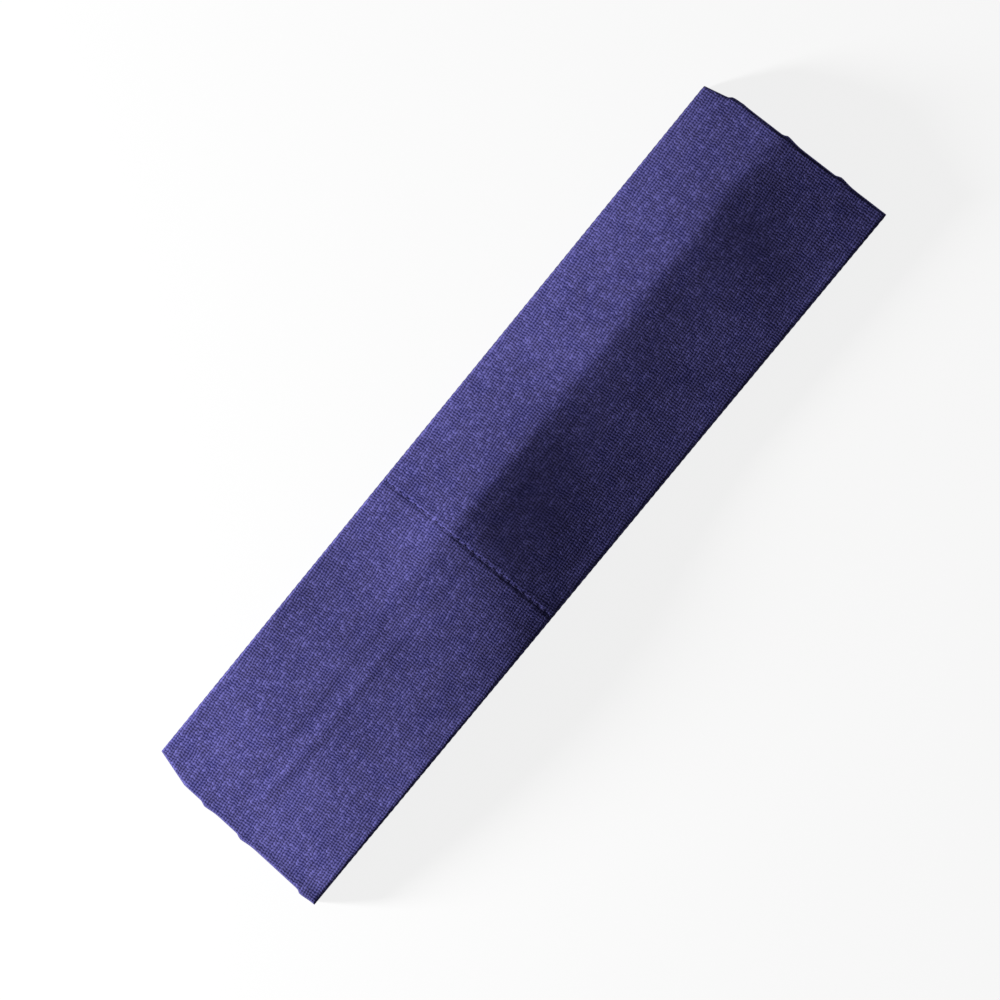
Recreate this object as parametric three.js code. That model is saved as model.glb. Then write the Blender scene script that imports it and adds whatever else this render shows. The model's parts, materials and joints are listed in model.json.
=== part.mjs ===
// A knitted sweatband for the head: an endless two-ply band, pressed flat so that it lies as two
// layers, with a fold at each end. Units are millimetres.
// X runs along the flat band, Y across it, and Z is up from the face that it rests on.
// Each ply is one continuous loop of knit. It is cut here into panels that hinge where it bends,
// so that the flat band can open into the oval that goes round a head.
import * as THREE from 'three';

// Driving dimensions
const FLAT_LENGTH = 240;        // fold to fold
const WIDTH_AT_LEFT_FOLD = 58;  // at the -X end
const WIDTH_AT_RIGHT_FOLD = 60; // at the +X end
const PLY = 0.8;                // thickness of one ply of double knit
const PLY_GAP = 0.1;            // outer ply to lining
const LOOP_GAP = 1.2;           // lining to lining along the long edges
const PANEL_LENGTH = 40;
const HINGE_CLEARANCE = 0.15;   // each panel stops this far short of its hinge line
const SEAM_X = -21;             // cross seam that closes the loop, in the front layer
const SEAM_CLEARANCE = 0.5;     // each side of the cross seam's thread
const THREAD_RADIUS = 0.22;
const THREAD_SIDES = 6;
const EDGE_INSET = 0.5;         // the plies stop here, and the edge thread closes them

// The front layer is tented along a ridge, which fades out past the cross seam
const RIDGE_Y = 5;
const OUTER_CROWN = 5.2;
const LINING_CROWN = 2.7;
const RIDGE_FADE_START = -65;
const RIDGE_FADE_END = -20;
const LOW_END_CROWN = 0.15;     // share of the crown that is left at the -X end
const FOLD_TAPER = 14;          // the crown dies out over this length before each fold

// Derived heights and places
const STACK = 4 * PLY + 2 * PLY_GAP + LOOP_GAP;
const MID_Z = STACK / 2;
const FOLD_X = FLAT_LENGTH / 2 - MID_Z - HINGE_CLEARANCE; // hinge line of a fold
const LINING_INNER_RADIUS = LOOP_GAP / 2;
const LINING_OUTER_RADIUS = LINING_INNER_RADIUS + PLY;
const OUTER_INNER_RADIUS = LINING_OUTER_RADIUS + PLY_GAP;

const ACROSS = 10;              // cells across a panel
const ALONG = 4;                // cells along a tented panel
const FOLD_FACETS = 8;

const outerKnit = new THREE.MeshStandardMaterial({ color: 0x4f4a86, roughness: 0.92, metalness: 0 });
const liningKnit = new THREE.MeshStandardMaterial({ color: 0x47427c, roughness: 0.94, metalness: 0 });
const thread = new THREE.MeshStandardMaterial({ color: 0x2b2850, roughness: 0.7, metalness: 0 });

const band = new THREE.Group();
band.name = 'sweatband';

function halfWidth(x) {
  const along = (x + FLAT_LENGTH / 2) / FLAT_LENGTH;
  return (WIDTH_AT_LEFT_FOLD + (WIDTH_AT_RIGHT_FOLD - WIDTH_AT_LEFT_FOLD) * along) / 2;
}

// Share of the full crown at a place on the front layer: 1 on the ridge, 0 at the edges and folds
function crownShare(x, y) {
  const edge = halfWidth(x) - EDGE_INSET;
  const toEdge = y < RIDGE_Y ? (y + edge) / (RIDGE_Y + edge) : (edge - y) / (edge - RIDGE_Y);
  const risen = THREE.MathUtils.smoothstep(x, RIDGE_FADE_START, RIDGE_FADE_END);
  const lengthwise = LOW_END_CROWN + (1 - LOW_END_CROWN) * risen;
  const nearFold = THREE.MathUtils.smoothstep(FOLD_X - Math.abs(x), 0, FOLD_TAPER);
  return Math.max(toEdge, 0) * lengthwise * nearFold;
}

// One closed panel of knit from x0 to x1, between two height functions
function panelGeometry(x0, x1, along, across, bottom, top) {
  const columns = across + 1;
  const layerSize = (along + 1) * columns;
  const positions = [];
  for (const height of [bottom, top]) {
    for (let i = 0; i <= along; i++) {
      const x = x0 + (x1 - x0) * i / along;
      const edge = halfWidth(x) - EDGE_INSET;
      for (let j = 0; j <= across; j++) {
        const y = -edge + 2 * edge * j / across;
        positions.push(x, y, height(x, y));
      }
    }
  }
  const faces = [];
  const quad = (a, b, c, d) => faces.push(a, b, c, a, c, d);
  const at = (layer, i, j) => layer * layerSize + i * columns + j;
  for (let i = 0; i < along; i++) {
    for (let j = 0; j < across; j++) {
      quad(at(0, i, j), at(0, i, j + 1), at(0, i + 1, j + 1), at(0, i + 1, j));
      quad(at(1, i, j), at(1, i + 1, j), at(1, i + 1, j + 1), at(1, i, j + 1));
    }
    quad(at(0, i, 0), at(0, i + 1, 0), at(1, i + 1, 0), at(1, i, 0));
    quad(at(0, i + 1, across), at(0, i, across), at(1, i, across), at(1, i + 1, across));
  }
  for (let j = 0; j < across; j++) {
    quad(at(0, 0, j + 1), at(0, 0, j), at(1, 0, j), at(1, 0, j + 1));
    quad(at(0, along, j), at(0, along, j + 1), at(1, along, j + 1), at(1, along, j));
  }
  const geometry = new THREE.BufferGeometry();
  geometry.setAttribute('position', new THREE.Float32BufferAttribute(positions, 3));
  geometry.setIndex(faces);
  geometry.computeVertexNormals();
  return geometry;
}

// A round strand along a path
function strandGeometry(points) {
  const section = new THREE.Shape();
  for (let k = 0; k < THREAD_SIDES; k++) {
    const turn = 2 * Math.PI * k / THREAD_SIDES;
    const x = THREAD_RADIUS * Math.cos(turn);
    const y = THREAD_RADIUS * Math.sin(turn);
    if (k === 0) section.moveTo(x, y);
    else section.lineTo(x, y);
  }
  section.closePath();
  const path = points.length > 2
    ? new THREE.CatmullRomCurve3(points)
    : new THREE.LineCurve3(points[0], points[1]);
  const steps = 2 * (points.length - 1);
  return new THREE.ExtrudeGeometry(section, { steps, extrudePath: path });
}

// The half-round turn of one ply at a fold, between two radii about the fold's hinge line
function foldGeometry(innerRadius, outerRadius, side) {
  const section = new THREE.Shape();
  const quarter = Math.PI / 2;
  const at = (radius, turn) => [side * radius * Math.cos(turn), radius * Math.sin(turn)];
  for (let k = 0; k <= FOLD_FACETS; k++) {
    const [x, z] = at(outerRadius, -quarter + Math.PI * k / FOLD_FACETS);
    if (k === 0) section.moveTo(x, z);
    else section.lineTo(x, z);
  }
  for (let k = FOLD_FACETS; k >= 0; k--) {
    section.lineTo(...at(innerRadius, -quarter + Math.PI * k / FOLD_FACETS));
  }
  section.closePath();
  const width = 2 * (halfWidth(side * FLAT_LENGTH / 2) - (side < 0 ? EDGE_INSET : 0));
  const geometry = new THREE.ExtrudeGeometry(section, { depth: width, bevelEnabled: false });
  geometry.translate(0, 0, -width / 2);
  geometry.rotateX(Math.PI / 2);
  geometry.translate(side * (FOLD_X + HINGE_CLEARANCE), 0, MID_Z);
  return geometry;
}

function add(name, geometry, material) {
  const mesh = new THREE.Mesh(geometry, material.clone());
  mesh.name = name;
  band.add(mesh);
}

// The two threads that close the plies along the long edges of one panel
function addEdgeThreads(name, x0, x1, z) {
  for (const [edge, sign] of [['left', 1], ['right', -1]]) {
    const ends = [x0, x1].map((x) => new THREE.Vector3(x, sign * (halfWidth(x) - THREAD_RADIUS), z));
    add(`${edge}_edge_thread_${name}`, strandGeometry(ends), thread);
  }
}

function addBackPanel(name, x0, x1) {
  const outerTop = PLY;
  const liningBottom = PLY + PLY_GAP;
  const liningTop = liningBottom + PLY;
  add(`outer_${name}`, panelGeometry(x0, x1, 1, 2, () => 0, () => outerTop), outerKnit);
  add(`lining_${name}`, panelGeometry(x0, x1, 1, 2, () => liningBottom, () => liningTop), liningKnit);
  addEdgeThreads(name, x0, x1, outerTop + PLY_GAP / 2);
}

function addFrontPanel(name, x0, x1, along) {
  const liningBottom = MID_Z + LOOP_GAP / 2;
  const outerBottom = liningBottom + PLY + PLY_GAP;
  const liningHeight = (x, y) => liningBottom + LINING_CROWN * crownShare(x, y);
  const outerHeight = (x, y) => outerBottom + OUTER_CROWN * crownShare(x, y);
  const raised = (height) => (x, y) => height(x, y) + PLY;
  const lining = panelGeometry(x0, x1, along, ACROSS, liningHeight, raised(liningHeight));
  const outer = panelGeometry(x0, x1, along, ACROSS, outerHeight, raised(outerHeight));
  add(`outer_${name}`, outer, outerKnit);
  add(`lining_${name}`, lining, liningKnit);
  addEdgeThreads(name, x0, x1, outerBottom - PLY_GAP / 2);
}

// The thread of the cross seam, lying in the groove between the two ends of the band
function addCrossSeamThread() {
  const depth = 0.5;
  const outerTop = STACK;
  const points = [];
  const reach = halfWidth(SEAM_X) - 2 * EDGE_INSET;
  for (let j = 0; j <= ACROSS; j++) {
    const y = -reach + 2 * reach * j / ACROSS;
    points.push(new THREE.Vector3(SEAM_X, y, outerTop - depth + OUTER_CROWN * crownShare(SEAM_X, y)));
  }
  add('cross_seam_thread', strandGeometry(points), thread);
}

function addFolds() {
  for (const [name, side] of [['left', -1], ['right', 1]]) {
    const linedTurn = foldGeometry(LINING_INNER_RADIUS, LINING_OUTER_RADIUS, side);
    const outerTurn = foldGeometry(OUTER_INNER_RADIUS, MID_Z, side);
    add(`outer_fold_${name}`, outerTurn, outerKnit);
    add(`lining_fold_${name}`, linedTurn, liningKnit);
  }
}

// Panels of each layer lie between the hinge lines, numbered from the -X fold
const hingeLines = [-FOLD_X, -2 * PANEL_LENGTH, -PANEL_LENGTH, 0, PANEL_LENGTH, 2 * PANEL_LENGTH, FOLD_X];
for (let n = 1; n < hingeLines.length; n++) {
  const start = hingeLines[n - 1] + HINGE_CLEARANCE;
  const end = hingeLines[n] - HINGE_CLEARANCE;
  addBackPanel(`back_${n}`, start, end);
  const holdsSeam = start < SEAM_X && SEAM_X < end;
  if (holdsSeam) {
    addFrontPanel(`front_${n}a`, start, SEAM_X - SEAM_CLEARANCE, ALONG / 2);
    addFrontPanel(`front_${n}b`, SEAM_X + SEAM_CLEARANCE, end, ALONG / 2);
  } else {
    addFrontPanel(`front_${n}`, start, end, ALONG);
  }
}
addCrossSeamThread();
addFolds();

export default band;
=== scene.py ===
"""A knitted sweatband for the head, pressed flat so that it lies as two layers with a fold at each end.

The band is an endless loop of two plies, an outer knit and a lining, closed by one cross seam. Each
ply is made here of short lengths of cloth, one round each hinge of the frame. Lengths are in
millimetres until a mesh is made, and then in metres.
"""
import json
import math

import bpy
import numpy as np
from mathutils import Matrix, Vector

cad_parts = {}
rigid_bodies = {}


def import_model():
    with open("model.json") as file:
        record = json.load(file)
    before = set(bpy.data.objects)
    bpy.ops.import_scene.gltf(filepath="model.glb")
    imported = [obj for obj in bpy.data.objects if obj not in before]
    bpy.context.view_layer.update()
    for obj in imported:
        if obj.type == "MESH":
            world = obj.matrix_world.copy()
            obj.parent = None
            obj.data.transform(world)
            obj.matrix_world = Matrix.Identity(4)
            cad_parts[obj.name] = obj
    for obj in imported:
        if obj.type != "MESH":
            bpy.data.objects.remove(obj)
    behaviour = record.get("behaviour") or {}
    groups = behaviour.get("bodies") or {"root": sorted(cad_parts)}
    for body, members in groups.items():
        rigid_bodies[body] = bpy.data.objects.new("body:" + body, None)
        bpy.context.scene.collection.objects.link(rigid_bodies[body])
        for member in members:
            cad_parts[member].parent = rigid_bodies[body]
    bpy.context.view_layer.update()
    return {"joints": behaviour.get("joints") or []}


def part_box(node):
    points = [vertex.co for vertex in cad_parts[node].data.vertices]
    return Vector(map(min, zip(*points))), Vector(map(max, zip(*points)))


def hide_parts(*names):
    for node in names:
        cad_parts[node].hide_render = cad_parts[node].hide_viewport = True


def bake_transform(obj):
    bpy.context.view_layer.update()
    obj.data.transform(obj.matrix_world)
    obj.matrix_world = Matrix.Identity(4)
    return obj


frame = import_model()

MM = 0.001


# ---------------------------------------------------------------- Camera

VIEW_WIDTH = 0.270              # what the picture takes in at the height of the band, in metres
CAMERA_HEIGHT = 2.4
SENSOR_WIDTH = 36               # in millimetres
VIEW_CENTRE = (-0.0048, 0.0016, 0.0)
IMAGE_RIGHT = Vector((0.635, -0.772, 0.0)).normalized()
IMAGE_UP = Vector((0.772, 0.635, 0.0)).normalized()


def add_camera():
    """Looks straight down, turned so that the band runs from the lower left to the upper right."""
    data = bpy.data.cameras.new("camera")
    data.sensor_width = SENSOR_WIDTH
    data.lens = SENSOR_WIDTH * CAMERA_HEIGHT / VIEW_WIDTH
    data.clip_end = 20
    camera = bpy.data.objects.new("camera", data)
    towards_viewer = IMAGE_RIGHT.cross(IMAGE_UP)
    turn = Matrix((IMAGE_RIGHT, IMAGE_UP, towards_viewer)).transposed().to_4x4()
    camera.matrix_world = Matrix.Translation(Vector(VIEW_CENTRE) + CAMERA_HEIGHT * towards_viewer) @ turn
    bpy.context.scene.collection.objects.link(camera)
    bpy.context.scene.camera = camera


add_camera()


# ---------------------------------------------------------------- Sizes

joints = {joint["name"]: joint for joint in frame["joints"]}
FOLD_X = joints["loop_open"]["pos_m"][0] / MM
MID_Z = joints["loop_open"]["pos_m"][2] / MM
PANEL = joints["bend_back_4_5"]["pos_m"][0] / MM     # from one hinge to the next


def back_heights(node):
    """Distances below the loop's middle of the lower and upper faces of a back panel."""
    low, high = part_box(node)
    return MID_Z - low.z / MM, MID_Z - high.z / MM


OUTER_FACE, OUTER_INSIDE = back_heights("outer_back_3")
LINING_OUTSIDE, LINING_FACE = back_heights("lining_back_3")
PLY_JOINT = (OUTER_INSIDE + LINING_OUTSIDE) / 2   # where the two plies meet along the long edges

WIDTH_AT_LEFT_FOLD = 58
WIDTH_AT_RIGHT_FOLD = 60
EDGE_ROUND = 0.6                # the plies roll down to each other over this width
EDGE_SHARE = 0.06               # share of a ply's rise that is left at the very edge

# The front layer is tented along a ridge, which fades out past the cross seam
RIDGE_Y = 6.2
RIDGE_SOFTNESS = 0.13
OUTER_CROWN = 4.1
LINING_CROWN = 2.7
LEFT_FLANK_BOW = 0.08           # the left flank is steeper near its long edge
RIGHT_FLANK_BOW = -0.035        # and the right flank is less steep near its own
BOW_DECAY = 5                   # how fast a flank's bow dies out away from its long edge
FADE_START_X = -54.0
FADE_END_X = -12.0
FADE_SKEW = 0.4                 # the right flank fades out further along than the left one
LOW_END_CROWN = 0.13
FOLD_TAPER = 40.0
RIGHT_FOLD_CROWN = 0.70         # share of the crown that is left at each fold
LEFT_FOLD_CROWN = 0.05

# Past the ridge's end the whole front layer stands off the back one, and it slopes down to the -X fold
LIFT = 3.4
LIFT_PEAK_X = -53.0
LIFT_END_X = 38.0

# The faint lengthwise crease that the band was packed with: a low ridge and a valley on its +Y side
CREASE_Y = -0.4
CREASE_WANDER = 0.8
CREASE_RIDGE_HEIGHT = 0.10
CREASE_RIDGE_REACH = 1.3
CREASE_VALLEY_DEPTH = 0.09
CREASE_VALLEY_REACH = 2.2
CREASE_VALLEY_OFFSET = 4.2
CREASE_BESIDE_RIDGE = 0.25      # share of the crease that is left beside the high part of the ridge
CREASE_FADE_START_X = -40
CREASE_FADE_END_X = -10

# Long soft wrinkles, each with its height, its lengths along X and Y, and its phase
LONG_WRINKLES = ((0.055, 13.0, 9.0, 0.4), (0.04, 7.5, -11.0, 2.1))
SHORT_WRINKLE_HEIGHT = 0.015
RELIEF_EDGE_MARGIN = 5          # creases and wrinkles die out this close to the long edges
RELIEF_FOLD_MARGIN = 12         # and this close to the folds

# The cross seam's humps, or hollows where the height is below 0: height, distance from the seam, reach
SEAM_X = -20.3
SEAM_STITCH = 2.5
SEAM_GROOVE = (-0.08, 0.0, 0.34)
SEAM_ALLOWANCES = ((0.03, 1.1, 0.8), (0.02, -1.6, 1.2))
SEAM_DIMPLE = (-0.10, -0.4, 0.35)

CUT_X = (2 * PANEL + FOLD_X) / 2   # the last cut before each fold, in the middle of the end panel
STRIP_Y = 18.5                  # each fold is two strips, and its left corner is cut back

# How far the bend at each hinge spreads towards -X and +X, by the layer and the hinge's place, counted
# in panels from the middle. They are such that where two lengths of cloth meet, both would lean off
# their panel by the same amount to within 0.2 degrees, and an opened band would be a smooth ring and
# not a polygon, with the panel that lies on the floor, from -1 to 0 on the back, kept flat. This
# script only looks them up and does not bend the cloth. The numbers were worked out by a least-squares
# calculation outside this script.
END_REACH = FOLD_X - CUT_X
BEND_REACHES = {
    "front": {
        -2: (END_REACH, 44.8),
        -1: (69.7, 59.5),
        0: (51.2, 51.2),
        1: (59.5, 69.7),
        2: (44.8, END_REACH),
    },
    "back": {
        -2: (END_REACH, 56.3),
        -1: (46.2, 8.0),
        0: (8.0, 40.3),
        1: (98.2, 88.0),
        2: (42.3, END_REACH),
    },
}

# Each length of cloth runs on under the next one, as a tongue that fills the gap when the band opens
TONGUE = 3.2
TONGUE_SINK = 0.04              # the tongue lies this far inside the cloth
SEAM_TONGUE_SINK = 0.16         # and deeper under the groove of the cross seam
TONGUE_ROWS = 5

# Outline of each fold: x where the two strips meet, its slope along y on each strip, and the places
# across the cloth where a small pleat stands out past it
FOLD_OUTLINES = {
    -1: {"name": "left", "meet": 118.3, "main": -0.055, "corner": -0.30, "pleats": (11.0, -2.0, -24.0)},
    1: {"name": "right", "meet": 119.3, "main": -0.032, "corner": -0.245, "pleats": (22.0, 4.0, -14.0)},
}
FOLD_SIDES = {"loop_open": 1, "fold_left_open": -1}   # which fold each of these joints opens
PLEAT_SIZE = 0.62
PLEAT_STEEP_SIDE = 0.7          # a pleat lies over towards -Y, so its +Y side is the steep one
PLEAT_LONG_SIDE = 3.0

# Painted shade: how far the cloth's colour is darkened along the long edges and round the folds
EDGE_SHADE_WIDTH = 0.9             # of the strip along each long edge
EDGE_PAINTED_SHADE = 0.70
LEFT_FOLD_PAINTED_SHADE = 0.95
RIGHT_FOLD_PAINTED_SHADE = 0.20

CELL = 0.8                      # side of a cloth mesh's cell
FINE_CELL = 0.3                 # beside the cross seam
FINE_REACH = 4.2                # how far the fine cells reach from the seam
EDGE_COLUMNS = 6                # columns of points that round off each long edge
SAME_PLACE = 0.01               # columns closer than this share of the half width count as one
TURN_STEPS = 12                 # steps in a quarter of a fold's turn

THREAD_RADIUS = 0.17
THREAD_SIDES = 6
THREAD_SINK = 0.10              # the edge thread's middle lies this far inside the long edge
THREAD_STEP = 0.4
EDGE_STITCH = 2.2
EDGE_STITCH_HEIGHT = 0.04

# An edge thread's tongue is thinner than the thread that it lies in
THREAD_TONGUE_START = 0.1
THREAD_TONGUE_ROWS = 8
THREAD_TONGUE_RADIUS = 0.5 * THREAD_RADIUS

SEAM_THREAD_RADIUS = 0.12
SEAM_THREAD_STEP = 0.25
SEAM_THREAD_DEPTH = 0.10
SEAM_THREAD_DIP = 0.12


def smoothstep(value, start, end):
    share = np.clip((value - start) / (end - start), 0, 1)
    return share * share * (3 - 2 * share)


def half_width(x):
    along = (x + FOLD_X) / (2 * FOLD_X)
    return (WIDTH_AT_LEFT_FOLD + (WIDTH_AT_RIGHT_FOLD - WIDTH_AT_LEFT_FOLD) * along) / 2


def fold_outline(side, y):
    """How far out a fold reaches at y."""
    outline = FOLD_OUTLINES[side]
    slope = np.where(y < STRIP_Y, outline["main"], outline["corner"])
    return outline["meet"] + slope * (y - STRIP_Y)


# ---------------------------------------------------------------- Shape of the cloth

def bowed(share, bow):
    """A share of the rise, from 0 at a long edge to 1 at the ridge, that rises faster near the edge, or
    slower where the bow is below 0."""
    return (share + bow * (1 - np.exp(-BOW_DECAY * np.clip(share, 0, 1)))) / (1 + bow)


def crown_share(x, y):
    """Share of the full crown at a place on the front layer: 1 on the ridge, 0 at the long edges."""
    edge = half_width(x)
    right = bowed((y + edge) / (RIDGE_Y + edge), RIGHT_FLANK_BOW)
    left = bowed((edge - y) / (edge - RIDGE_Y), LEFT_FLANK_BOW)
    tent = (right + left - np.sqrt((right - left) ** 2 + RIDGE_SOFTNESS ** 2)) / 2
    base = (1 - np.sqrt(1 + RIDGE_SOFTNESS ** 2)) / 2
    across = np.clip(tent - base, 0, None)
    skewed = x - FADE_SKEW * np.clip(y, -edge, 0)
    risen = smoothstep(skewed, FADE_START_X, FADE_END_X)
    lengthwise = LOW_END_CROWN + (1 - LOW_END_CROWN) * risen
    to_fold = smoothstep(FOLD_X - np.abs(x), 0, FOLD_TAPER)
    at_fold = np.where(x > 0, RIGHT_FOLD_CROWN, LEFT_FOLD_CROWN)
    return across * lengthwise * (at_fold + (1 - at_fold) * to_fold)


def layer_lift(x):
    """How far the front layer, long edges and all, stands off the flat."""
    reach = LIFT_PEAK_X + FOLD_X
    rising = 1 - ((x - LIFT_PEAK_X) / reach) ** 2
    falling = 1 - smoothstep(x, LIFT_PEAK_X, LIFT_END_X)
    return LIFT * np.clip(np.where(x < LIFT_PEAK_X, rising, falling), 0, 1)


def bump(value, centre, reach):
    """A smooth hump of height 1."""
    return np.exp(-((value - centre) / reach) ** 2)


def crease_height(x, y):
    wander = CREASE_Y + CREASE_WANDER * np.sin(x / 31.0 + 0.6)
    ridge = CREASE_RIDGE_HEIGHT * bump(y, wander, CREASE_RIDGE_REACH)
    valley = -CREASE_VALLEY_DEPTH * bump(y, wander + CREASE_VALLEY_OFFSET, CREASE_VALLEY_REACH)
    strength = 0.8 + 0.2 * np.sin(x / 13.0 + 2.0)
    faded = 1 - smoothstep(x, CREASE_FADE_START_X, CREASE_FADE_END_X)
    past_ridge = CREASE_BESIDE_RIDGE + (1 - CREASE_BESIDE_RIDGE) * faded
    return (ridge + valley) * strength * past_ridge


def wrinkle_height(x, y):
    """Soft unevenness of cloth that lies loose."""
    long_waves = 0
    for height, along, across, phase in LONG_WRINKLES:
        long_waves = long_waves + height * np.sin(x / along + y / across + phase)
    short_waves = SHORT_WRINKLE_HEIGHT * np.sin(x / 3.1 + y / 4.7 + 1.0) * np.sin(y / 3.9 - x / 6.3)
    return long_waves + short_waves


def seam_hump(x, height, offset, reach):
    return height * bump(x, SEAM_X + offset, reach)


def seam_height(x, y):
    """The cross seam: a groove, the allowances that lift both sides, and a dimple at each stitch."""
    allowances = sum(seam_hump(x, *allowance) for allowance in SEAM_ALLOWANCES)
    stitch = 0.5 + 0.5 * np.cos(2 * math.pi * y / SEAM_STITCH)
    dimples = seam_hump(x, *SEAM_DIMPLE) * stitch ** 2
    return seam_hump(x, *SEAM_GROOVE) + allowances + dimples


def front_relief(x, y):
    """Everything small that stands out from or into the front layer."""
    to_edge = smoothstep(half_width(x) - np.abs(y), 0, RELIEF_EDGE_MARGIN)
    to_fold = smoothstep(FOLD_X - np.abs(x), 0, RELIEF_FOLD_MARGIN)
    return (crease_height(x, y) + wrinkle_height(x, y)) * to_edge * to_fold + seam_height(x, y)


def pleat_size(side, y):
    """How far the small pleats in a fold stand out past its outline."""
    total = 0 * y
    for centre in FOLD_OUTLINES[side]["pleats"]:
        reach = np.where(y > centre, PLEAT_STEEP_SIDE, PLEAT_LONG_SIDE)
        total = total + PLEAT_SIZE * bump(y, centre, reach)
    return total


def edge_rounding(x, y):
    """1 over most of the cloth, falling to almost 0 where the plies meet at the long edges."""
    past = np.clip((np.abs(y) - half_width(x) + EDGE_ROUND) / EDGE_ROUND, 0, 1)
    return EDGE_SHARE + (1 - EDGE_SHARE) * np.sqrt(1 - past ** 2)


def painted_edge_shade(x, y, angle):
    """Painted shade on the cloth's colour: more than 0 only along the long edges and the folds."""
    at_edge = EDGE_PAINTED_SHADE * smoothstep(np.abs(y), half_width(x) - EDGE_SHADE_WIDTH, half_width(x))
    at_fold = np.where(x < 0, LEFT_FOLD_PAINTED_SHADE, RIGHT_FOLD_PAINTED_SHADE) * np.cos(angle) ** 0.5
    return np.maximum(at_edge, at_fold)


def cloth_points(x, y, angle, side, level, reach, crown, relief=0.0, sink=0.0):
    """Points of one face of a ply. angle is -90 degrees on the back layer and 90 on the front one,
    and goes from one to the other round a fold. level is the face's distance from the loop's middle,
    and reach is how far it bulges past the flat cloth at the fold, which is pressed sharp. sink moves
    the face towards the inside of the loop."""
    distance = PLY_JOINT + (level - PLY_JOINT) * edge_rounding(x, y) - sink
    rise = np.clip(np.sin(angle), 0, 1) ** 2
    pleat = pleat_size(side, y) * np.clip(np.sin(2 * angle), 0, 1) * (reach > 0)
    lift = rise * (layer_lift(x) + crown * crown_share(x, y) + relief * front_relief(x, y))
    out = side * (reach * np.cos(angle) + pleat)
    return np.stack([x + out, y, MID_Z + distance * np.sin(angle) + lift], -1)


# ---------------------------------------------------------------- Meshes

def column_shares(low, high):
    """Places across the cloth, as shares of its half width, closer together at the long edges."""
    middle = 1 - EDGE_ROUND / (WIDTH_AT_LEFT_FOLD / 2)
    edge = 1 - (1 - middle) * (1 - np.sin(np.linspace(0, math.pi / 2, EDGE_COLUMNS)))
    inner = np.linspace(-middle, middle, round(WIDTH_AT_RIGHT_FOLD / CELL))
    every = np.concatenate([-edge[::-1], inner[1:-1], edge])
    kept = every[(every > low + SAME_PLACE) & (every < high - SAME_PLACE)]
    return np.concatenate([[low], kept, [high]])


def shell_faces(rows, columns, step_rows=()):
    """Quads of a closed sheet: two grids of points, and the strips that join their borders. The sheet's
    border is sharp, and so are the rows where its surface steps down."""
    under = rows * columns
    faces = []
    for i in range(rows - 1):
        for j in range(columns - 1):
            a = i * columns + j
            quad = (a, a + 1, a + columns + 1, a + columns)
            faces.append(quad)
            faces.append(tuple(under + k for k in reversed(quad)))
    border = list(range(columns))
    border += [i * columns + columns - 1 for i in range(1, rows)]
    border += [(rows - 1) * columns + j for j in range(columns - 2, -1, -1)]
    border += [i * columns for i in range(rows - 2, 0, -1)]
    edges = list(zip(border, border[1:] + border[:1]))
    for a, b in edges:
        faces.append((b, a, under + a, under + b))
    sharp = set()
    for i in step_rows:
        edges += [(i * columns + j, i * columns + j + 1) for j in range(columns - 1)]
    for a, b in edges:
        sharp.add((min(a, b), max(a, b)))
        sharp.add((under + min(a, b), under + max(a, b)))
    return faces, sharp


def signed_volume(points, faces):
    total = 0.0
    for face in faces:
        a = points[face[0]]
        for k in range(1, len(face) - 1):
            total += np.dot(a, np.cross(points[face[k]], points[face[k + 1]]))
    return total


def make_piece(name, points, faces, cloth, material, sharp=()):
    """An object from points in millimetres. cloth is each point's place in the cloth, for the weave,
    and how much painted shade darkens the cloth's colour there."""
    if signed_volume(points, faces) < 0:
        faces = [tuple(reversed(face)) for face in faces]
    mesh = bpy.data.meshes.new(name)
    mesh.from_pydata([tuple(p) for p in np.asarray(points) * MM], [], faces)
    mesh.polygons.foreach_set("use_smooth", [True] * len(mesh.polygons))
    if sharp:
        marks = [tuple(sorted(edge.vertices)) in sharp for edge in mesh.edges]
        attribute = mesh.attributes.new("sharp_edge", "BOOLEAN", "EDGE")
        attribute.data.foreach_set("value", marks)
    place = mesh.attributes.new("cloth", "FLOAT_VECTOR", "POINT")
    place.data.foreach_set("vector", np.asarray(cloth, np.float32).ravel())
    mesh.materials.append(material)
    mesh.validate()
    piece = bpy.data.objects.new(name, mesh)
    bpy.context.scene.collection.objects.link(piece)
    return piece


def strand(points, radius):
    """A round strand along points, closed at both ends. radius is one value or one for each point."""
    points = np.asarray(points)
    radius = radius + np.zeros(len(points))
    ahead = np.gradient(points, axis=0)
    ahead /= np.linalg.norm(ahead, axis=1)[:, None]
    runs_across = abs(ahead[0][1]) >= 0.7
    reference = np.array([1.0, 0.0, 0.0]) if runs_across else np.array([0.0, 1.0, 0.0])
    first = np.cross(ahead, reference)
    first /= np.linalg.norm(first, axis=1)[:, None]
    second = np.cross(ahead, first)
    vertices, cloth = [], []
    run = 0.0
    for i, centre in enumerate(points):
        if i:
            run += np.linalg.norm(centre - points[i - 1])
        for k in range(THREAD_SIDES):
            turn = 2 * math.pi * k / THREAD_SIDES
            spoke = math.cos(turn) * first[i] + math.sin(turn) * second[i]
            vertices.append(centre + radius[i] * spoke)
            cloth.append((run, k / THREAD_SIDES, 0.0))
    faces = []
    for i in range(len(points) - 1):
        for k in range(THREAD_SIDES):
            a = i * THREAD_SIDES + k
            b = i * THREAD_SIDES + (k + 1) % THREAD_SIDES
            faces.append((a, b, b + THREAD_SIDES, a + THREAD_SIDES))
    last = (len(points) - 1) * THREAD_SIDES
    faces.append(tuple(reversed(range(THREAD_SIDES))))
    faces.append(tuple(last + k for k in range(THREAD_SIDES)))
    return vertices, faces, cloth


# ---------------------------------------------------------------- Materials

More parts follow.
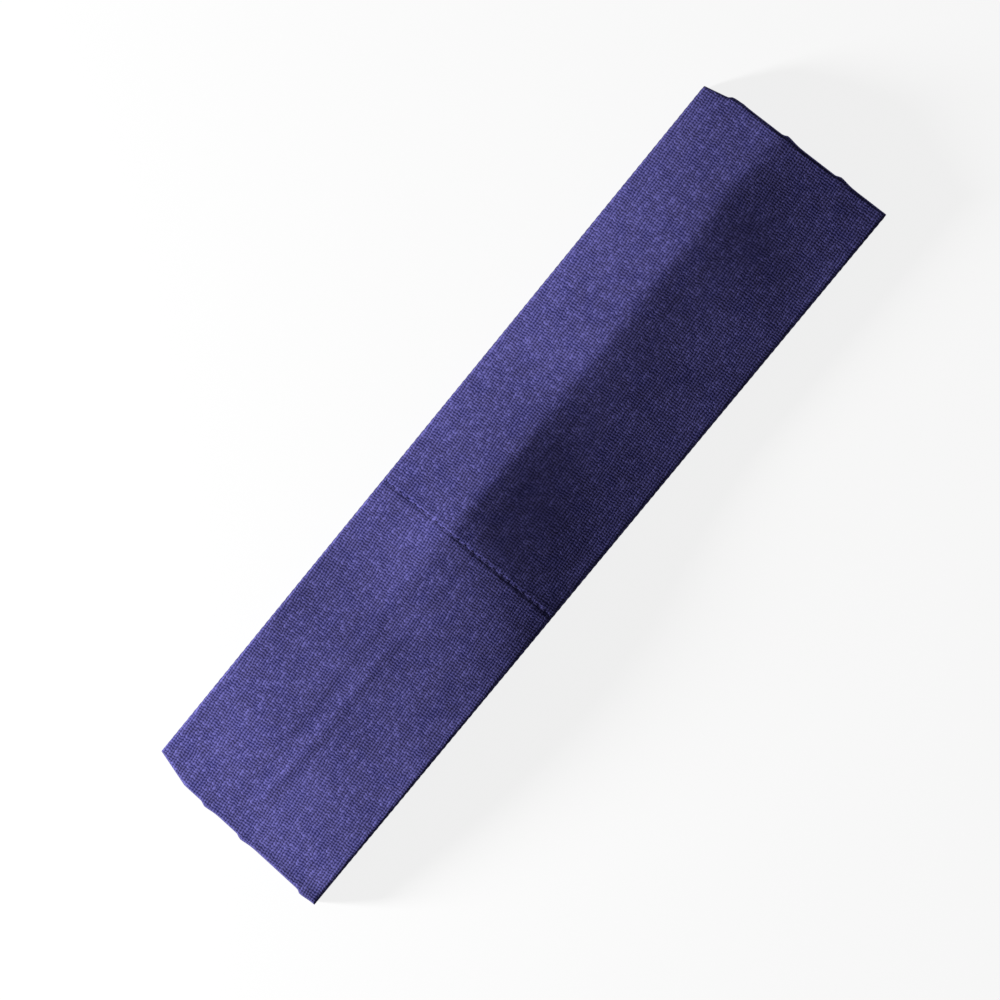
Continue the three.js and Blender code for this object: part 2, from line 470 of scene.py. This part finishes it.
class Graph:
    """Short calls that add nodes to a material. A socket given as an input is linked, a value is set."""

    def __init__(self, name):
        self.material = bpy.data.materials.new(name)
        self.material.use_nodes = True
        self.tree = self.material.node_tree
        self.shader = self.tree.nodes["Principled BSDF"]

    def feed(self, socket, value):
        if isinstance(value, bpy.types.NodeSocket):
            self.tree.links.new(value, socket)
        else:
            socket.default_value = value

    def node(self, kind, settings=None, **inputs):
        node = self.tree.nodes.new(kind)
        for key, value in (settings or {}).items():
            setattr(node, key, value)
        for key, value in inputs.items():
            self.feed(node.inputs[key.replace("_", " ")], value)
        return node

    def math(self, operation, *values):
        node = self.node("ShaderNodeMath", {"operation": operation})
        for socket, value in zip(node.inputs, values):
            self.feed(socket, value)
        return node.outputs[0]

    def mix(self, factor, low, high):
        """A colour between low and high. A Mix node has its colours on inputs 6 and 7 and output 2."""
        node = self.node("ShaderNodeMix", {"data_type": "RGBA"})
        self.feed(node.inputs[0], factor)
        self.feed(node.inputs[6], low)
        self.feed(node.inputs[7], high)
        return node.outputs[2]

    def spread(self, value, low, high):
        """value, which runs from 0 to 1, stretched to run from low to high."""
        return self.math("MULTIPLY_ADD", value, high - low, low)

    def noise(self, vector, scale, detail=2.0):
        node = self.node("ShaderNodeTexNoise", Vector=vector, Scale=scale, Detail=detail)
        return node.outputs["Fac"]

    def shine(self, **values):
        for key, value in values.items():
            self.feed(self.shader.inputs[key.replace("_", " ")], value)


def combine(graph, x, y):
    node = graph.node("ShaderNodeCombineXYZ", X=x, Y=y)
    return node.outputs[0]


def cloth_place(graph):
    return graph.node("ShaderNodeAttribute", {"attribute_name": "cloth"}).outputs["Vector"]


def tinted(colour, red, green, blue):
    """A colour with its three channels scaled."""
    return (red * colour[0], green * colour[1], blue * colour[2], 1)


COURSE = 0.81                   # from one stitch to the next along the band
WALE = 1.62                     # from one column of V stitches to the next
KNIT_SKEW = math.radians(5)
KNIT_WANDER = 0.9               # how far the rows and columns stray
LEG_SLANT = -0.6

# How much each pattern lightens or darkens the knit
STITCH_SHADE_GAIN = 1.25
STITCH_SHADE_BASE = -0.35
GLINT_GAIN = 0.55
CLOUD_GAIN = 0.4
STREAK_GAIN = 0.3
FIBRE_GAIN = 0.6


def strayed_place(graph, place):
    """Distances along and across the knit, whose rows and columns are skewed and stray a little."""
    turned = graph.node("ShaderNodeVectorRotate", {"rotation_type": "Z_AXIS"}, Vector=place, Angle=KNIT_SKEW)
    wander = graph.node("ShaderNodeTexNoise", Vector=place, Scale=0.35, Detail=2.0)
    shift = graph.node("ShaderNodeVectorMath", {"operation": "MULTIPLY_ADD"})
    graph.feed(shift.inputs[0], wander.outputs["Color"])
    graph.feed(shift.inputs[1], (KNIT_WANDER, KNIT_WANDER, 0.0))
    graph.feed(shift.inputs[2], turned.outputs[0])
    split = graph.node("ShaderNodeSeparateXYZ", Vector=shift.outputs[0])
    return split.outputs[0], split.outputs[1]


def stitches(graph, place, along, across):
    """The height of the stitches, and a pair of whole numbers for each leg of each stitch. The legs and
    the rows stand out, and the holes lie where neither does."""
    off_centre = graph.math("ABSOLUTE", graph.math("SUBTRACT", graph.math("FRACT", across), 0.5))
    phase = graph.math("MULTIPLY_ADD", off_centre, LEG_SLANT, along)
    wave = graph.math("COSINE", graph.math("MULTIPLY", phase, 2 * math.pi))
    stitch = graph.math("MULTIPLY_ADD", wave, 0.5, 0.5)
    leg = graph.math("SINE", graph.math("MULTIPLY", off_centre, 2 * math.pi))
    zones = graph.noise(place, scale=0.3)
    zone = graph.node("ShaderNodeMapRange", Value=zones, From_Min=0.35, From_Max=0.65)
    leg_share = graph.spread(zone.outputs[0], 0.35, 0.65)
    rows = graph.math("MULTIPLY", stitch, graph.math("SUBTRACT", 1.0, leg_share))
    height = graph.math("MULTIPLY_ADD", leg, leg_share, rows)
    leg_number = combine(
        graph,
        graph.math("FLOOR", graph.math("ADD", phase, 0.5)),
        graph.math("FLOOR", graph.math("MULTIPLY", across, 2.0)),
    )
    return height, leg_number


def knit_tone(graph, place, strayed, across, height, leg_number, fibres):
    """How light the knit is, from 0 to 1. A few legs of stitches, at random, are much lighter: painted
    glints.
    """
    glints = graph.node("ShaderNodeTexWhiteNoise", {"noise_dimensions": "2D"}, Vector=leg_number)
    clouds = graph.noise(place, scale=0.06, detail=3.0)
    streaks = graph.noise(combine(graph, graph.math("MULTIPLY", strayed, 0.06), across), scale=1.2)
    # Painted shade: the holes between the stitches, where their height is low, are made darker than the
    # stitches' tops.
    tone = graph.math("MULTIPLY_ADD", height, STITCH_SHADE_GAIN, STITCH_SHADE_BASE)
    # Painted glints: a few legs of stitches, picked at random, are made much lighter.
    tone = graph.math("MULTIPLY_ADD", graph.math("POWER", glints.outputs["Value"], 5.0), GLINT_GAIN, tone)
    for pattern, gain in ((clouds, CLOUD_GAIN), (streaks, STREAK_GAIN), (fibres, FIBRE_GAIN)):
        tone = graph.math("MULTIPLY_ADD", graph.math("SUBTRACT", pattern, 0.5), gain, tone)
    clamped = graph.node("ShaderNodeClamp", Value=tone)
    return clamped.outputs[0]


def knit_material(name, deep, bright, relief_mm):
    """Fine jersey. Columns of V stitches run along the band: each V is two slanted legs."""
    graph = Graph(name)
    place = cloth_place(graph)
    # The third part of the cloth attribute is the painted shade along the long edges and folds.
    pressed = graph.node("ShaderNodeSeparateXYZ", Vector=place).outputs[2]
    strayed_along, strayed_across = strayed_place(graph, place)
    along = graph.math("DIVIDE", strayed_along, COURSE)
    across = graph.math("DIVIDE", strayed_across, WALE)
    height, leg_number = stitches(graph, place, along, across)
    fibres = graph.noise(place, scale=6.0, detail=4.0)
    tone = knit_tone(graph, place, strayed_along, across, height, leg_number, fibres)

    blotches = graph.noise(place, scale=0.22, detail=3.0)
    patches = graph.node("ShaderNodeMapRange", Value=blotches, From_Min=0.4, From_Max=0.7)
    ground = graph.mix(patches.outputs[0], deep, tinted(deep, 0.6, 0.7, 1.15))
    colour = graph.mix(tone, ground, bright)
    # Painted shade: along the long edges and folds the colour is mixed towards a darker copy of the deep
    # colour.
    graph.shine(Base_Color=graph.mix(pressed, colour, tinted(deep, 0.8, 0.8, 0.8)))

    rough = graph.math("ADD", height, graph.math("MULTIPLY", fibres, 0.5))
    bump_node = graph.node("ShaderNodeBump", Strength=1.0, Distance=relief_mm * MM, Height=rough)
    graph.shine(
        Normal=bump_node.outputs[0],
        Roughness=graph.spread(fibres, 0.95, 0.78),
        Specular_IOR_Level=0.08,
        Sheen_Weight=0.06,
        Sheen_Roughness=0.5,
        Sheen_Tint=(0.45, 0.42, 0.90, 1.0),
    )
    return graph.material


THREAD_TWIST = 0.55             # length of one twist
THREAD_RELIEF = 0.06
THREAD_FIBRE_GAIN = 0.6


def thread_material(name, deep, bright):
    """Sewing thread: plies that twist round each other."""
    graph = Graph(name)
    place = cloth_place(graph)
    split = graph.node("ShaderNodeSeparateXYZ", Vector=place)
    phase = graph.math("ADD", graph.math("DIVIDE", split.outputs[0], THREAD_TWIST), split.outputs[1])
    ply = graph.math("ABSOLUTE", graph.math("SINE", graph.math("MULTIPLY", phase, math.pi)))
    fibres = graph.noise(place, scale=9.0, detail=3.0)
    # Painted shade: the grooves between the plies are made darker than the plies' crowns.
    tone = graph.math("MULTIPLY_ADD", graph.math("SUBTRACT", fibres, 0.5), THREAD_FIBRE_GAIN, ply)
    clamped = graph.node("ShaderNodeClamp", Value=tone)
    graph.shine(Base_Color=graph.mix(clamped.outputs[0], deep, bright))
    bump_node = graph.node("ShaderNodeBump", Strength=1.0, Distance=THREAD_RELIEF * MM, Height=ply)
    graph.shine(
        Normal=bump_node.outputs[0],
        Roughness=graph.spread(fibres, 0.9, 0.7),
        Specular_IOR_Level=0.1,
        Sheen_Weight=0.06,
        Sheen_Roughness=0.5,
    )
    return graph.material


OUTER_KNIT = knit_material("outer_knit", (0.018, 0.016, 0.064, 1), (0.111, 0.103, 0.330, 1), 0.045)
LINING_KNIT = knit_material("lining_knit", (0.016, 0.014, 0.056, 1), (0.097, 0.090, 0.290, 1), 0.04)
THREAD = thread_material("thread", (0.010, 0.009, 0.036, 1), (0.045, 0.040, 0.140, 1))

# faces are each face's level and its reach at a fold, the visible face first, and inset is how far
# short of the fold's outline the flat cloth ends
OUTER_PLY = {
    "name": "outer",
    "faces": ((OUTER_FACE, 0.5), (OUTER_INSIDE, 0.12)),
    "inset": 0.5,
    "crown": OUTER_CROWN,
    "relief": 1.0,
    "material": OUTER_KNIT,
    "slot": "outer_knit",
}
LINING_PLY = {
    "name": "lining",
    "faces": ((LINING_FACE, 0.10), (LINING_OUTSIDE, 0.45)),
    "inset": 0.9,
    "crown": LINING_CROWN,
    "relief": 0.0,
    "material": LINING_KNIT,
    "slot": "lining_knit",
}
THREAD_REACH = 0.4              # how far the edge threads bulge at a fold
THREAD_INSET = 0.65             # how far short of the fold's outline they turn


# ---------------------------------------------------------------- Lengths of cloth round the hinges

BACK_ANGLE = -math.pi / 2
FRONT_ANGLE = math.pi / 2
NEAR_SEAM = 2                   # the middle of the seam's panel is closer to the seam than this


def stations_between(start, end):
    """Places from start to end along X, closer together beside the cross seam."""
    places = [start]
    while places[-1] < end - 1e-6:
        to_seam = abs(places[-1] - SEAM_X)
        places.append(places[-1] + (FINE_CELL if to_seam < FINE_REACH else CELL))
    places = np.array(places)
    return start + (places - start) * (end - start) / (places[-1] - start)


def seam_stop(x, layer):
    """The front layer is cut at the cross seam and not at the middle of its panel."""
    return SEAM_X if layer == "front" and abs(x - SEAM_X) < NEAR_SEAM else x


def hinge_span(joint):
    """The place of an inner hinge, its layer, and where the cloth round it starts and ends, which is at
    the middles of the two panels."""
    pivot = joint["pos_m"][0] / MM
    layer = joint["parent"].split("_")[0]
    start = max(pivot - PANEL / 2, -CUT_X)
    end = min(pivot + PANEL / 2, CUT_X)
    return pivot, layer, seam_stop(start, layer), seam_stop(end, layer)


def place_in_cloth(x, layer):
    """Distance round the loop from the middle of the back, so that the weave runs on from piece to piece."""
    turn = math.pi * OUTER_FACE
    return x if layer == "back" else 2 * FOLD_X + turn - x


def nodes_of(ply, *panels):
    return [f"{ply['name']}_{panel}" for panel in panels]


def shell_piece(name, x, y, angle, side, ply, run, sunk=None):
    """Closed mesh of one length of a ply, from grids of flat places and turn angles. sunk says how
    deep each row lies inside the cloth, which is more than 0 on a tongue."""
    rows, columns = x.shape
    sunk = np.zeros(rows) if sunk is None else sunk
    y = y * (1 - sunk[:, None] / half_width(x))
    faces_of_ply = []
    for level, reach in ply["faces"]:
        outward = 1 if level == max(ply["faces"])[0] else -1
        sink = outward * sunk[:, None]
        points = cloth_points(x, y, angle, side, level, reach, ply["crown"], ply["relief"], sink)
        faces_of_ply.append(points)
    steps = np.flatnonzero(np.diff(sunk))
    faces, sharp = shell_faces(rows, columns, [*steps, *(steps + 1)])
    points = np.concatenate([face.reshape(-1, 3) for face in faces_of_ply])
    cloth = np.stack([run, y, painted_edge_shade(x, y, angle)], -1).reshape(-1, 3)
    cloth = np.concatenate([cloth, cloth])
    return make_piece(name, points, faces, cloth, ply["material"], sharp)


def finish_sheet(replaced):
    if replaced:
        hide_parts(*replaced)


def panel_is_ahead(joint):
    """Whether a joint's child panel lies on the +X side of its hinge."""
    low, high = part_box(f"outer_{joint['child']}")
    return (low.x + high.x) / 2 > joint["pos_m"][0]


def bend_along(piece, joint):
    """Looks up how far the bend round an inner hinge spreads to each side, and bakes the piece's transform.
    """
    pivot = joint["pos_m"][0] / MM
    layer = joint["parent"].split("_")[0]
    below, above = BEND_REACHES[layer][round(pivot / PANEL)]
    start, end = pivot - below, pivot + above
    if not panel_is_ahead(joint):
        start, end = end, start
    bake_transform(piece)


def add_hinge_cloth(ply, joint):
    """The cloth round one inner hinge."""
    pivot, layer, start, end = hinge_span(joint)
    shares = column_shares(-1, 1)
    places = stations_between(start, end)
    sunk = np.zeros(len(places))
    if end < CUT_X:
        tongue = end + np.linspace(0, TONGUE, TONGUE_ROWS)
        places = np.concatenate([places, tongue])
        depth = SEAM_TONGUE_SINK if end == SEAM_X else TONGUE_SINK
        sunk = np.concatenate([sunk, np.full(len(tongue), depth)])
    x = places[:, None] + 0 * shares[None, :]
    y = half_width(x) * shares[None, :]
    angle = BACK_ANGLE if layer == "back" else FRONT_ANGLE
    run = place_in_cloth(x, layer)
    name = f"{ply['name']}_cloth_{joint['name'].replace('bend_', '')}"
    piece = shell_piece(name, x, y, angle + 0 * x, 1, ply, run, sunk)
    bend_along(piece, joint)
    replaced = nodes_of(ply, joint["child"])
    if joint["name"] == "bend_back_3_4":
        replaced += nodes_of(ply, "back_3")
    finish_sheet(replaced)


def fold_grid(side, strip, half, inset):
    """Flat places, widths and turn angles of half of a fold, on one of its two strips."""
    edge = half_width(side * CUT_X)
    between = STRIP_Y / edge
    shares = column_shares(-1, between) if strip == "main" else column_shares(between, 1)
    flat_steps = round((FOLD_X - CUT_X) / CELL)
    along = np.concatenate([np.linspace(0, 1, flat_steps), np.ones(TURN_STEPS)])
    angle = np.concatenate([np.full(flat_steps, BACK_ANGLE), np.linspace(BACK_ANGLE, 0, TURN_STEPS + 1)[1:]])
    if half == "upper":
        angle = -angle
    y_at_cut = edge * shares
    centre = fold_outline(side, y_at_cut) - inset
    x = side * (CUT_X + along[:, None] * (centre[None, :] - CUT_X))
    y = y_at_cut[None, :] + 0 * x
    return x, y, angle[:, None] + 0 * x


def fold_blend(piece):
    """Bakes the transform of half of a fold into its mesh."""
    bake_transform(piece)


def add_fold_part(ply, joint, side, strip, half):
    """One strip of a ply at a fold, on the back layer's side or the front layer's."""
    fold = FOLD_OUTLINES[side]["name"]
    bodies = (joint["parent"], joint["child"])
    x, y, angle = fold_grid(side, strip, half, ply["inset"])
    flat_steps = np.abs(np.diff(x, axis=0, prepend=x[:1]))
    turned_steps = OUTER_FACE * np.abs(np.diff(angle, axis=0, prepend=angle[:1]))
    travelled = np.cumsum(flat_steps + turned_steps, axis=0)
    layer = "back" if half == "lower" else "front"
    forward = side if half == "lower" else -side
    run = place_in_cloth(side * CUT_X, layer) + forward * travelled
    piece = shell_piece(f"{ply['name']}_fold_{fold}_{strip}_{half}", x, y, angle, side, ply, run)
    fold_blend(piece)
    replaced = []
    if strip == "main":
        panel = bodies[1] if half == "upper" else f"fold_{fold}"
        replaced = nodes_of(ply, panel)
    finish_sheet(replaced)


def add_fold_cloth(ply, joint, side):
    """The four parts of a ply at one fold: two strips, each with a lower and an upper half."""
    for strip in ("main", "corner"):
        for half in ("lower", "upper"):
            add_fold_part(ply, joint, side, strip, half)


def add_cloth():
    for ply in (OUTER_PLY, LINING_PLY):
        for joint in joints.values():
            if joint["name"] in FOLD_SIDES:
                add_fold_cloth(ply, joint, FOLD_SIDES[joint["name"]])
            else:
                add_hinge_cloth(ply, joint)


# ---------------------------------------------------------------- Threads

EDGES = {"left": 1, "right": -1}


def edge_stitches(run):
    """How far the edge thread stands out: it surfaces once in each stitch and dips between."""
    return EDGE_STITCH_HEIGHT * np.cos(2 * math.pi * run / EDGE_STITCH)


def edge_path(x, y_sign, angle, side, run):
    y = y_sign * (half_width(x) - THREAD_SINK + edge_stitches(run))
    lift = np.clip(np.sin(angle), 0, 1) ** 2 * layer_lift(x)
    z = MID_Z + PLY_JOINT * np.sin(angle) + lift
    return np.stack([x + side * THREAD_REACH * np.cos(angle), y, z], -1)


def add_thread(name, path, replaced, radius=THREAD_RADIUS):
    vertices, faces, cloth = strand(path, radius)
    piece = make_piece(name, np.array(vertices), faces, cloth, THREAD)
    if replaced:
        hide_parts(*replaced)
    return piece


def add_hinge_threads(joint):
    """The two edge threads round one inner hinge."""
    _, layer, start, end = hinge_span(joint)
    x = np.linspace(start, end, round((end - start) / THREAD_STEP))
    radius = np.full(len(x), THREAD_RADIUS)
    if end < CUT_X:
        tongue = end + np.linspace(THREAD_TONGUE_START, TONGUE, THREAD_TONGUE_ROWS)
        x = np.concatenate([x, tongue])
        radius = np.concatenate([radius, np.full(len(tongue), THREAD_TONGUE_RADIUS)])
    angle = np.full(len(x), BACK_ANGLE if layer == "back" else FRONT_ANGLE)
    for edge, y_sign in EDGES.items():
        path = edge_path(x, y_sign, angle, 1, place_in_cloth(x, layer))
        replaced = [f"{edge}_edge_thread_{joint['child']}"]
        if joint["name"] == "bend_back_3_4":
            replaced.append(f"{edge}_edge_thread_back_3")
        name = f"{edge}_edge_thread_{joint['name'].replace('bend_', '')}"
        piece = add_thread(name, path, replaced, radius)
        bend_along(piece, joint)


def add_fold_threads(joint, side):
    """The two edge threads at one fold, each with a lower and an upper half."""
    fold = FOLD_OUTLINES[side]["name"]
    bodies = (joint["parent"], joint["child"])
    for edge, y_sign in EDGES.items():
        y = y_sign * half_width(side * FOLD_X)
        centre = float(fold_outline(side, y)) - THREAD_INSET
        flat = np.linspace(CUT_X, centre, round((centre - CUT_X) / THREAD_STEP))
        x = side * np.concatenate([flat, np.full(TURN_STEPS, centre)])
        turning = np.linspace(BACK_ANGLE, 0, TURN_STEPS + 1)[1:]
        for half in ("lower", "upper"):
            sense = 1 if half == "lower" else -1
            angle = sense * np.concatenate([np.full(len(flat), BACK_ANGLE), turning])
            layer = "back" if half == "lower" else "front"
            run = place_in_cloth(side * CUT_X, layer) + side * sense * (np.abs(x) - CUT_X)
            path = edge_path(x, y_sign, angle, side, run)
            replaced = [f"{edge}_edge_thread_{bodies[1]}"] if half == "upper" else []
            piece = add_thread(f"{edge}_edge_thread_fold_{fold}_{half}", path, replaced)
            fold_blend(piece)


def add_cross_seam_thread():
    """The lockstitch of the cross seam, which shows in the groove once in each stitch."""
    reach = half_width(SEAM_X) - EDGE_ROUND
    y = np.linspace(-reach, reach, round(2 * reach / SEAM_THREAD_STEP))
    x = np.full(len(y), SEAM_X)
    surface = cloth_points(x, y, np.full(len(y), FRONT_ANGLE), 1, OUTER_FACE, 0, OUTER_CROWN, 1.0)
    dip = SEAM_THREAD_DIP * np.cos(2 * math.pi * y / SEAM_STITCH)
    path = surface - np.stack([0 * y, 0 * y, SEAM_THREAD_DEPTH + dip], -1)
    piece = add_thread("cross_seam_stitches", path, ["cross_seam_thread"], SEAM_THREAD_RADIUS)
    bend_along(piece, joints["bend_front_4_3b"])


def add_threads():
    for joint in joints.values():
        if joint["name"] in FOLD_SIDES:
            add_fold_threads(joint, FOLD_SIDES[joint["name"]])
        else:
            add_hinge_threads(joint)
    add_cross_seam_thread()


# ---------------------------------------------------------------- Studio

KEY_DIRECTION = Vector((-0.74, 0.67, 0.0)).normalized()
KEY_ELEVATION = math.radians(9.4)
KEY_DISTANCE = 0.84
KEY_SIZE = 0.15
KEY_POWER = 34
FILL_STRENGTH = 0.085
FLOOR_SIDE = 8.0
FLOOR_DROP = 0.0002             # keeps the floor clear of the cloth that lies on it
FLOOR_GREY = 0.13
FLOOR_GLOW = 0.85
HORIZON_GREY = 0.86


def add_floor():
    half = FLOOR_SIDE / 2
    mesh = bpy.data.meshes.new("floor")
    corners = [(-half, -half, 0), (half, -half, 0), (half, half, 0), (-half, half, 0)]
    mesh.from_pydata(corners, [], [(0, 1, 2, 3)])
    graph = Graph("floor")
    graph.shine(
        Base_Color=(FLOOR_GREY, FLOOR_GREY, FLOOR_GREY, 1),
        Roughness=0.9,
        Specular_IOR_Level=0.0,
        Emission_Color=(1.0, 1.0, 1.0, 1),
        Emission_Strength=FLOOR_GLOW,
    )
    mesh.materials.append(graph.material)
    floor = bpy.data.objects.new("floor", mesh)
    floor.location.z = -FLOOR_DROP
    bpy.context.scene.collection.objects.link(floor)


def add_key_light():
    """A disk of light low over the left long edge, so that the ridge shows."""
    data = bpy.data.lights.new("key", "AREA")
    data.shape = "DISK"
    data.size = KEY_SIZE
    data.energy = KEY_POWER
    light = bpy.data.objects.new("key", data)
    flat = KEY_DISTANCE * math.cos(KEY_ELEVATION) * KEY_DIRECTION
    light.location = flat + Vector((0, 0, KEY_DISTANCE * math.sin(KEY_ELEVATION)))
    light.rotation_euler = light.location.to_track_quat("Z", "Y").to_euler()
    light.visible_camera = False
    bpy.context.scene.collection.objects.link(light)


def add_world():
    """Even fill light. The camera sees the same pale grey beyond the floor as on its far parts."""
    world = bpy.data.worlds.new("studio")
    world.use_nodes = True
    tree = world.node_tree
    fill = tree.nodes["Background"]
    fill.inputs["Color"].default_value = (1.0, 1.0, 1.0, 1)
    fill.inputs["Strength"].default_value = FILL_STRENGTH
    seen = tree.nodes.new("ShaderNodeBackground")
    seen.inputs["Color"].default_value = (HORIZON_GREY, HORIZON_GREY, HORIZON_GREY, 1)
    rays = tree.nodes.new("ShaderNodeLightPath")
    mix = tree.nodes.new("ShaderNodeMixShader")
    tree.links.new(rays.outputs["Is Camera Ray"], mix.inputs[0])
    tree.links.new(fill.outputs[0], mix.inputs[1])
    tree.links.new(seen.outputs[0], mix.inputs[2])
    tree.links.new(mix.outputs[0], tree.nodes["World Output"].inputs["Surface"])
    bpy.context.scene.world = world
    bpy.context.scene.view_settings.view_transform = "Standard"


add_cloth()
add_threads()
add_floor()
add_key_light()
add_world()
